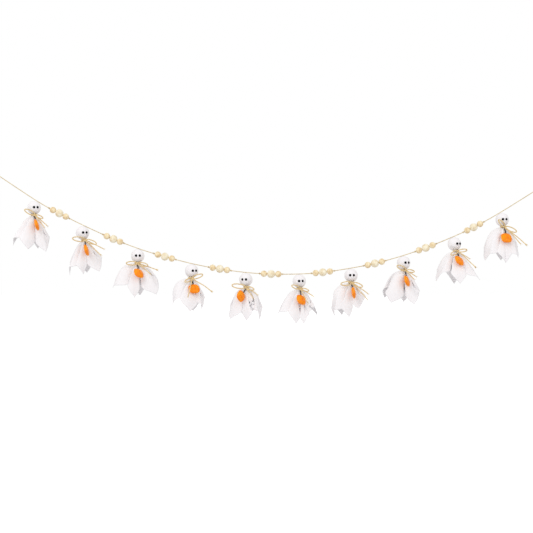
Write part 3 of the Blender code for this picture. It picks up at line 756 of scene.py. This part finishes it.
def drape_point(number, neck, x, y):
    """Return where a point of the flat cloth goes, from the head's centre, before it settles."""
    ghost = GHOSTS[number - 1]
    distance = math.hypot(x, y)
    around = (math.degrees(math.atan2(y, x)) + 45.0) % 360.0
    quarter = min(int(around // 90), 3)
    share = (around - 90 * quarter) / 90
    azimuth, flare, extra, belly = ghost[3][quarter]
    next_azimuth, next_flare, next_extra, next_belly = ghost[3][(quarter + 1) % 4]
    azimuth, next_azimuth = turned_forward(azimuth), turned_forward(next_azimuth)
    sweep_angle = (next_azimuth - azimuth) % 360
    if distance <= HEAD_COVER:
        wave = math.cos(math.tau * HEAD_PLEATS * share + 1.5 * math.sin(math.tau * share + number))
        return head_point(number, azimuth + sweep_angle * share, wave, distance)

    # The middle of the cloth is gathered in the neck, and the rest hangs from it
    corner = CLOTH_SIDE / math.sqrt(2)
    slant = math.cos(math.pi / 4) / math.cos(math.pi / 2 * (share - 0.5))
    edge = (corner + extra + (next_extra - extra) * share) * slant
    down = (distance - HEAD_COVER - NECK_LENGTH) / (corner * slant - HEAD_COVER - NECK_LENGTH)
    if down <= 0:
        drop = NECK_HALF_HEIGHT * (1 - 2 * (distance - HEAD_COVER) / NECK_LENGTH)
        return (neck + Vector((0.0, 0.0, drop))
                + NECK_RADIUS * heading(azimuth + sweep_angle * share, 90.0))

    # Spare cloth at this distance, from the mean flare of the quarter
    reach = (edge - HEAD_COVER) * down
    mean_flare = (flare + next_flare) / 2 + EDGE_FLARE / 2
    radius = NECK_RADIUS + reach * math.sin(math.radians(mean_flare))
    spare = distance * math.pi / 2 / (radius * math.radians(sweep_angle))
    tip = max(0.0, (distance - OPEN_FROM) / (corner - OPEN_FROM))
    charm_azimuth, charm_flare = charm_press(ghost)
    facing = math.cos(math.radians(azimuth + sweep_angle / 2)) > FRONT_COSINE
    if facing:
        pleats = 1 if sweep_angle > NARROW_FRONT else 2
    else:
        pleats = BACK_PLEATS if sweep_angle > NARROW_BACK else 2

    # Belly by the distance near the corners, and by the nearness of the hem between them
    between = math.sin(math.pi * share) ** 2
    level = (distance - HEAD_COVER - NECK_LENGTH) / (corner - HEAD_COVER - NECK_LENGTH)
    level += (down - level) * between
    longest = corner + extra + (next_extra - extra) * share
    longest += (edge - longest) * between
    share, fold = box_pleat(share, pleats, spare, tip)

    # Envelope of the skirt, as the CAD solid has it
    heading_azimuth = azimuth + sweep_angle * share
    lean_out = flare + (next_flare - flare) * share + EDGE_FLARE * math.sin(math.pi * share) ** 2
    aside = 1 - math.cos(math.radians(heading_azimuth - charm_azimuth))
    lean_out = min(lean_out, charm_flare + PRESS_SPREAD * aside)
    free = PRESSED_BELLY + (belly + (next_belly - belly) * share - PRESSED_BELLY) * min(aside, 1.0)
    bulge = free * (longest - HEAD_COVER) * math.sin(math.pi * level ** BELLY_RISE)
    outward = heading(heading_azimuth, 90.0)
    point = (neck + Vector((0.0, 0.0, -NECK_HALF_HEIGHT)) + NECK_RADIUS * outward
             + reach * heading(heading_azimuth, lean_out)
             + bulge * heading(heading_azimuth, lean_out + 90.0))
    room = (point - neck).dot(outward)
    vary = 1.0 + 0.25 * noise.noise(Vector((1.3 * share, 2.3 * quarter, 5.1 * number)))
    depth = min(fold * room * math.radians(sweep_angle) * vary, FOLD_DEPTH_LIMIT * room)
    return point - outward * depth


def cloth_object(number, head, neck):
    """Return the cloth before it settles, at the simulation's scale.

    The head, the neck and the corners are held fast, and the rest a little, as by starch.
    """
    side = CLOTH_CELLS + 1
    bm = bmesh.new()
    layer = bm.loops.layers.uv.new("cut")
    verts, pinned = [], []
    for row in range(side):
        for column in range(side):
            x = (column / CLOTH_CELLS - 0.5) * CLOTH_SIDE
            y = (row / CLOTH_CELLS - 0.5) * CLOTH_SIDE
            verts.append(bm.verts.new((head + drape_point(number, neck - head, x, y)) * CLOTH_SCALE))
            corner = row in (0, CLOTH_CELLS) and column in (0, CLOTH_CELLS)
            if corner or math.hypot(x, y) < HEAD_COVER + NECK_LENGTH:
                pinned.append(len(verts) - 1)
    for row in range(CLOTH_CELLS):
        for column in range(CLOTH_CELLS):
            first = row * side + column
            outward = (row < CLOTH_CELLS / 2) == (column < CLOTH_CELLS / 2)
            cell = ((0, 0), (1, 0), (1, 1), (0, 1)) if outward else ((1, 0), (1, 1), (0, 1), (0, 0))
            for corners in (cell[:3], (cell[2], cell[3], cell[0])):
                face = bm.faces.new([verts[first + across + side * up] for across, up in corners])
                for loop, (across, up) in zip(face.loops, corners):
                    loop[layer].uv = ((column + across) / CLOTH_CELLS, (row + up) / CLOTH_CELLS)
    mesh = bpy.data.meshes.new(f"ghost_{number}_muslin")
    bm.to_mesh(mesh)
    bm.free()
    item = bpy.data.objects.new(mesh.name, mesh)
    bpy.context.scene.collection.objects.link(item)
    hold = item.vertex_groups.new(name="hold")
    hold.add(range(len(verts)), CLOTH_STARCH, "REPLACE")
    hold.add(pinned, 1.0, "REPLACE")
    return item


def add_cloth_physics(item):
    """Set an object up to settle as soft muslin that is held where its group says."""
    modifier = item.modifiers.new("settle", "CLOTH")
    for setting, value in CLOTH_SETTINGS.items():
        setattr(modifier.settings, setting, value)
    modifier.collision_settings.use_self_collision = False
    modifier.collision_settings.distance_min = CLOTH_GAP
    modifier.point_cache.frame_start = 1
    modifier.point_cache.frame_end = CLOTH_FRAMES


def pumpkin_collider(number):
    """Return a copy of a CAD pumpkin, at the simulation's scale, that the cloth can't enter."""
    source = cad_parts[f"ghost_{number}_pumpkin"]
    item = bpy.data.objects.new(f"hit_{number}", source.data.copy())
    bpy.context.scene.collection.objects.link(item)
    item.matrix_world = Matrix.Scale(CLOTH_SCALE, 4) @ source.matrix_world
    item.modifiers.new("hit", "COLLISION")
    item.collision.thickness_outer = COLLIDER_MARGIN
    item.collision.damping = COLLIDER_DAMPING
    return item


def settle_cloths(cloths):
    """Let the cloths hang under gravity, then put each back at its real size as a plain mesh."""
    scene = bpy.context.scene
    colliders = [pumpkin_collider(number) for number in range(1, len(GHOSTS) + 1)]
    for item in cloths:
        add_cloth_physics(item)
    for step in range(1, CLOTH_FRAMES + 1):
        scene.frame_set(step)
    depsgraph = bpy.context.evaluated_depsgraph_get()
    meshes = [bpy.data.meshes.new_from_object(item.evaluated_get(depsgraph)) for item in cloths]
    for item, mesh in zip(cloths, meshes):
        mesh.transform(Matrix.Scale(1 / CLOTH_SCALE, 4))
        item.modifiers.clear()
        item.vertex_groups.clear()
        item.data = mesh
    for item in colliders:
        bpy.data.objects.remove(item, do_unlink=True)
    scene.frame_set(1)


def finish_cloth(number, item, material):
    item.data.shade_smooth()
    item.data.materials.append(material)
    thick = item.modifiers.new("thickness", "SOLIDIFY")
    thick.thickness = CLOTH_THICKNESS
    thick.offset = 0.0
    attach(item, "root")
    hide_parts(f"ghost_{number}_cloth")


def make_cloths(material):
    """Build all ten cloths."""
    cloths = []
    for number in range(1, len(GHOSTS) + 1):
        head, neck = ghost_places(number)[2:]
        cloths.append(cloth_object(number, head, neck))
    settle_cloths(cloths)
    for number, item in enumerate(cloths, 1):
        finish_cloth(number, item, material)


def make_head(number, foam, black, thread):
    """Build the ball inside a head, its two eyes and the thread that ties it to the string."""
    ghost = GHOSTS[number - 1]
    tie, direction, head, _ = ghost_places(number)
    bm = bmesh.new()
    add_ball(bm, Matrix.Translation(head), (BALL_DIAMETER,) * 3, *BALL_GRID)
    name = f"ghost_{number}_head_ball"
    add_piece(name, mesh_from(bm, name), foam)
    half_angle = math.degrees(math.asin(EYE_SPACING / HEAD_DIAMETER))
    for side, label in ((-1, "left"), (1, "right")):
        outward = heading(ghost[0] + side * half_angle, 90.0 + EYE_LIFT)
        turn = outward.to_track_quat("Z", "Y").to_matrix().to_4x4()
        bm = bmesh.new()
        centre = head + outward * (HEAD_RADIUS - EYE_SINK)
        add_ball(bm, Matrix.Translation(centre) @ turn,
                 (EYE_DIAMETER, EYE_DIAMETER, EYE_ROUNDNESS * EYE_DIAMETER))
        name = f"ghost_{number}_{label}_eye"
        add_piece(name, mesh_from(bm, name), black)
    make_thread(number, tie, direction, head, thread)


def make_thread(number, tie, direction, head, material):
    """Build the knotted thread loop round the string."""
    down = (head - tie).normalized()
    across = direction.cross(down).normalized()
    reach = STRING_RADIUS + THREAD_RADIUS
    points = []
    for step in range(THREAD_TURN_STEPS + 1):
        angle = math.tau * step / THREAD_TURN_STEPS + math.pi / 2
        points.append(tie + reach * (math.cos(angle) * across + math.sin(angle) * down)
                      + direction * THREAD_DIAMETER * (step / THREAD_TURN_STEPS - 0.5))
    bm = bmesh.new()
    add_strand(bm, spaced(points, THREAD_STEP), THREAD_DIAMETER, plies=2, sides=8)
    foot = tie + down * (reach + THREAD_KNOT_LENGTH / 2)
    add_knot(bm, foot, direction, THREAD_KNOT_LENGTH, THREAD_KNOT_DIAMETER, THREAD_DIAMETER)
    end = [foot, foot + down * THREAD_END]
    add_strand(bm, spaced(end, THREAD_STEP), THREAD_DIAMETER, plies=2, sides=8)
    name = f"ghost_{number}_thread"
    add_piece(name, mesh_from(bm, name), material, ())


# Bows


def knot_frame(number):
    """Return the frame of a ghost's bow knot, on the front of its neck."""
    turn_angle = GHOSTS[number - 1][1]
    neck = ghost_places(number)[3]
    turn = Matrix.Rotation(math.radians(turn_angle), 4, "Z")
    return Matrix.Translation(neck + KNOT_OFFSET * heading(turn_angle, 90.0)) @ turn


def bow_loop(length, direction):
    """Return the strand of one bow loop, which swings forward as it leaves the knot."""
    turn = Matrix.Rotation(math.radians(-direction), 3, "Y")
    points = []
    for point in teardrop(length, BOW_LOOP_WIDTH * length, LOOP_STEPS):
        swing = BOW_FORWARD * math.sin(math.pi / 2 * min(1.0, point.x / length))
        points.append(turn @ point + Vector((0.0, -STRAND_FRONT - swing, 0.0)))
    return points


def bow_tail(length, direction, slope, start, seed):
    """Return the strand of one bow tail, which droops, wavers and slopes forward over the skirt."""
    turn = Matrix.Rotation(math.radians(-direction), 3, "Y")
    points = []
    for step in range(TAIL_STEPS + 1):
        share = step / TAIL_STEPS
        waver = TAIL_WAVER * length * share * noise.noise(Vector((2.5 * share, seed, 0.0)))
        point = turn @ Vector((length * share, 0.0, waver))
        point.z -= TAIL_DROOP * length * share ** 2
        point.y = point.z * math.tan(math.radians(slope)) - STRAND_FRONT
        point.x += start
        points.append(point)
    return points


def add_frayed_end(bm, end, direction, seed):
    """Add the loose fibres of a cut strand's end."""
    side = direction.orthogonal().normalized()
    other = direction.cross(side)
    for fibre in range(FIBRES):
        angle = math.tau * fibre / FIBRES + seed
        out = math.cos(angle) * side + math.sin(angle) * other
        spread = 0.35 + 0.25 * noise.noise(Vector((fibre * 1.7, seed, 0.0)))
        long = FIBRE_LENGTH * (0.55 + 0.45 * math.sin(2.3 * fibre + seed) ** 2)
        start = end - direction * FIBRE_ROOT + out * TWINE_RADIUS * 0.5
        bend = start + direction * long * 0.5 + out * long * 0.15
        tip = start + direction * long + out * long * spread
        add_strand(bm, spaced([start, bend, tip], TWINE_STEP), FIBRE_DIAMETER, plies=2, sides=6,
                   taper=True)


def make_bow(number, material):
    """Build one twine bow: the wrap round the neck, the knot, two loops and two tails."""
    ghost = GHOSTS[number - 1]
    place = knot_frame(number)
    bm = bmesh.new()
    for length, direction in ghost[4]:
        points = [place @ point for point in bow_loop(length, direction)]
        add_strand(bm, spaced(points, TWINE_STEP), TWINE_DIAMETER)
    for index, (length, direction, slope, knotted) in enumerate(ghost[5]):
        seed = 3.1 * number + 1.7 * index
        start = -TAIL_START if index else TAIL_START
        local = bow_tail(length, direction, slope, start, seed)
        points = spaced([place @ point for point in local], TWINE_STEP)
        add_strand(bm, points, TWINE_DIAMETER * TAIL_TWINE_SHARE, taper=True)
        run = (points[-1] - points[-3]).normalized()
        if knotted:
            add_knot(bm, points[-1], run, *TAIL_KNOT)
        add_frayed_end(bm, points[-1], run, seed)
    name = f"ghost_{number}_bow"
    add_piece(name + "_loops", mesh_from(bm, name), material, (name,))
    make_bow_knot(number, place, material)


def make_bow_knot(number, place, material):
    """Build the wrap round the neck and the wound knot in front of it."""
    ring_radius = NECK_RADIUS + SEAT_GAP + TWINE_RADIUS
    points = []
    for step in range(WRAP_STEPS + 1):
        angle = math.tau * WRAP_TURNS * step / WRAP_STEPS - math.pi / 2
        points.append(place @ Vector((ring_radius * math.cos(angle),
                                      KNOT_OFFSET + ring_radius * math.sin(angle),
                                      WRAP_RISE * (2 * step / WRAP_STEPS - 1))))
    bm = bmesh.new()
    add_strand(bm, spaced(points, TWINE_STEP), TWINE_DIAMETER * WRAP_TWINE_SHARE, taper=True)
    across = place.to_3x3() @ Vector((1.0, 0.0, 0.0))
    add_knot(bm, place.translation, across, BOW_KNOT_WIDTH, BOW_KNOT_DIAMETER, TWINE_DIAMETER)
    core = [place.translation - across * BOW_CORE_REACH, place.translation + across * BOW_CORE_REACH]
    add_strand(bm, spaced(core, TWINE_STEP), BOW_CORE_DIAMETER, taper=True)
    name = f"ghost_{number}_bow_knot"
    add_piece(name, mesh_from(bm, name), material, ())


# Pumpkins


def pumpkin_mesh(name):
    """Return the ribbed pumpkin, with the top of its stem at the origin."""
    sides = SIDES_PER_RIB * PUMPKIN_RIBS
    bm = bmesh.new()
    rings = []
    for row in range(1, PUMPKIN_ROWS):
        angle = math.pi * row / PUMPKIN_ROWS
        height = 0.5 - 0.5 * math.cos(angle)
        wide = (1 - abs(2 * height - 1) ** SHOULDER) ** (1 / 3)
        dimple = DIMPLE_DEPTH * PUMPKIN_HEIGHT * math.exp(-(row / DIMPLE_ROWS) ** 2)
        ring = []
        for side in range(sides):
            around = math.tau * side / sides
            rib = abs(math.cos(PUMPKIN_RIBS / 2 * around))
            reach = wide * (1 - GROOVE_DEPTH * (1 - rib) ** GROOVE_WIDTH)
            ring.append(bm.verts.new((PUMPKIN_WIDTH / 2 * reach * math.cos(around),
                                      PUMPKIN_THICKNESS / 2 * reach * math.sin(around),
                                      -STEM_LENGTH - dimple - PUMPKIN_HEIGHT * height)))
        rings.append(ring)
    join_rings(bm, rings)
    for ring, height in ((rings[0], TIP_SINK), (rings[-1], 1.0)):
        tip = bm.verts.new((0.0, 0.0, -STEM_LENGTH - PUMPKIN_HEIGHT * height))
        for side in range(sides):
            bm.faces.new((tip, ring[side], ring[(side + 1) % sides]))
    return mesh_from(bm, name)


def stem_mesh(name):
    """Return the bent, grooved stem that widens into the pumpkin."""
    points = []
    for row in range(STEM_ROWS + 1):
        share = row / STEM_ROWS
        bend = STEM_BEND * math.sin(math.pi * share)
        points.append(Vector((bend, 0.0, -STEM_LENGTH * STEM_SINK * share)))

    def section(index, travelled):
        share = index / STEM_ROWS
        wide = STEM_DIAMETER + (STEM_FOOT_DIAMETER - STEM_DIAMETER) * share ** 3
        ring = []
        for side in range(STEM_SIDES):
            angle = math.tau * side / STEM_SIDES
            radius = wide / 2 * (0.9 + 0.1 * math.cos(5 * angle + 2 * share))
            ring.append((radius * math.cos(angle), radius * math.sin(angle)))
        return ring

    bm = bmesh.new()
    sweep(bm, points, section)
    return mesh_from(bm, name)


def make_pumpkin(number, paint, brown):
    """Hang one pumpkin by its stem under the bow's knot."""
    turn, roll, tilt = (math.radians(angle) for angle in GHOSTS[number - 1][6])
    hang = Matrix.Rotation(-roll, 4, "Y") @ Matrix.Rotation(-tilt, 4, "X")
    drop = (BOW_KNOT_DIAMETER + STEM_DIAMETER * math.sin(tilt)) / 2 + SEAT_GAP
    seat = Matrix.Translation(Vector((0.0, 0.0, -drop)))
    place = knot_frame(number) @ seat @ hang @ Matrix.Rotation(turn, 4, "Z")
    name = f"ghost_{number}_pumpkin"
    pumpkin = add_piece(name + "_body", pumpkin_mesh(name), paint, (name,))
    pumpkin.matrix_world = place
    name = f"ghost_{number}_stem"
    stem = add_piece(name, stem_mesh(name), brown)
    stem.matrix_world = place


# Stage


def floor_material():
    """Return a matt white floor that looks as white as the background, except in a shadow."""
    material, tree, shader = new_material("floor", (0.80, 0.80, 0.80), 0.95)
    shader.inputs["Specular IOR Level"].default_value = 0.0
    glow = tree.nodes.new("ShaderNodeEmission")
    glow.inputs["Strength"].default_value = FLOOR_GLOW
    path = tree.nodes.new("ShaderNodeLightPath")
    share = tree.nodes.new("ShaderNodeMath")
    share.operation = "MULTIPLY"
    share.inputs[1].default_value = GLOW_SHARE
    mix = tree.nodes.new("ShaderNodeAddShader")
    both = tree.nodes.new("ShaderNodeMixShader")
    tree.links.new(path.outputs["Is Camera Ray"], share.inputs[0])
    tree.links.new(share.outputs["Value"], both.inputs["Fac"])
    tree.links.new(shader.outputs["BSDF"], mix.inputs[0])
    tree.links.new(glow.outputs["Emission"], mix.inputs[1])
    tree.links.new(shader.outputs["BSDF"], both.inputs[1])
    tree.links.new(mix.outputs["Shader"], both.inputs[2])
    tree.links.new(both.outputs["Shader"], tree.nodes["Material Output"].inputs["Surface"])
    return material


def camera_and_stage():
    """Set up the camera, the pale floor and the soft lights."""
    scene = bpy.context.scene
    data = bpy.data.cameras.new("camera")
    data.sensor_width = SENSOR_WIDTH
    data.lens = LENS
    camera = bpy.data.objects.new("camera", data)
    scene.collection.objects.link(camera)
    camera.location = CAMERA_PLACE
    camera.rotation_euler = (math.pi / 2, 0.0, 0.0)
    scene.camera = camera

    world = bpy.data.worlds.new("studio")
    world.use_nodes = True
    scene.world = world
    tree = world.node_tree
    back = tree.nodes["Background"]
    back.inputs["Color"].default_value = (1.0, 1.0, 1.0, 1.0)
    back.inputs["Strength"].default_value = WORLD_LIGHT
    white = tree.nodes.new("ShaderNodeBackground")
    white.inputs["Color"].default_value = (1.0, 1.0, 1.0, 1.0)
    path = tree.nodes.new("ShaderNodeLightPath")
    mix = tree.nodes.new("ShaderNodeMixShader")
    tree.links.new(path.outputs["Is Camera Ray"], mix.inputs["Fac"])
    tree.links.new(back.outputs["Background"], mix.inputs[1])
    tree.links.new(white.outputs["Background"], mix.inputs[2])
    tree.links.new(mix.outputs["Shader"], tree.nodes["World Output"].inputs["Surface"])

    bm = bmesh.new()
    bmesh.ops.create_grid(bm, x_segments=1, y_segments=1, size=FLOOR_SIZE)
    floor = bpy.data.objects.new("floor", mesh_from(bm, "floor"))
    scene.collection.objects.link(floor)
    floor.location = (LIT_POINT.x, 0.0, CAD_BOX[0][2] - FLOOR_DROP)
    floor.data.materials.append(floor_material())

    for name, place, size, power in LIGHTS:
        data = bpy.data.lights.new(name, "AREA")
        data.energy = power
        data.size = size
        light = bpy.data.objects.new(name, data)
        scene.collection.objects.link(light)
        light.location = place
        aim = LIT_POINT - light.location
        light.rotation_euler = aim.to_track_quat("-Z", "Y").to_euler()
    scene.view_settings.view_transform = "Standard"


def build():
    """Dress the whole garland."""
    string = fibre_material("cotton_string", (0.46, 0.33, 0.15), (0.68, 0.54, 0.30),
                            (0.82, 0.70, 0.45), 0.9)
    twine = fibre_material("jute_twine", (0.50, 0.33, 0.13), (0.76, 0.57, 0.28),
                           (0.90, 0.74, 0.44), 0.9)
    thread = fibre_material("white_thread", (0.72, 0.71, 0.72), (0.82, 0.81, 0.82),
                            (0.88, 0.88, 0.88), 0.85)
    make_string(string)
    cream = wood_material("cream_wood", (0.72, 0.52, 0.28), (0.88, 0.72, 0.45),
                          (0.93, 0.82, 0.58), 1.0)
    pale = wood_material("pale_wood", (0.78, 0.64, 0.42), (0.90, 0.81, 0.60),
                         (0.94, 0.88, 0.72), 1.3)
    make_beads(cream, pale)
    foam, black = foam_material(), eye_material()
    paint, brown = paint_material(), stem_material()
    for number in range(1, len(GHOSTS) + 1):
        make_head(number, foam, black, thread)
        make_bow(number, twine)
        make_pumpkin(number, paint, brown)
    make_cloths(muslin_material())


build()
camera_and_stage()
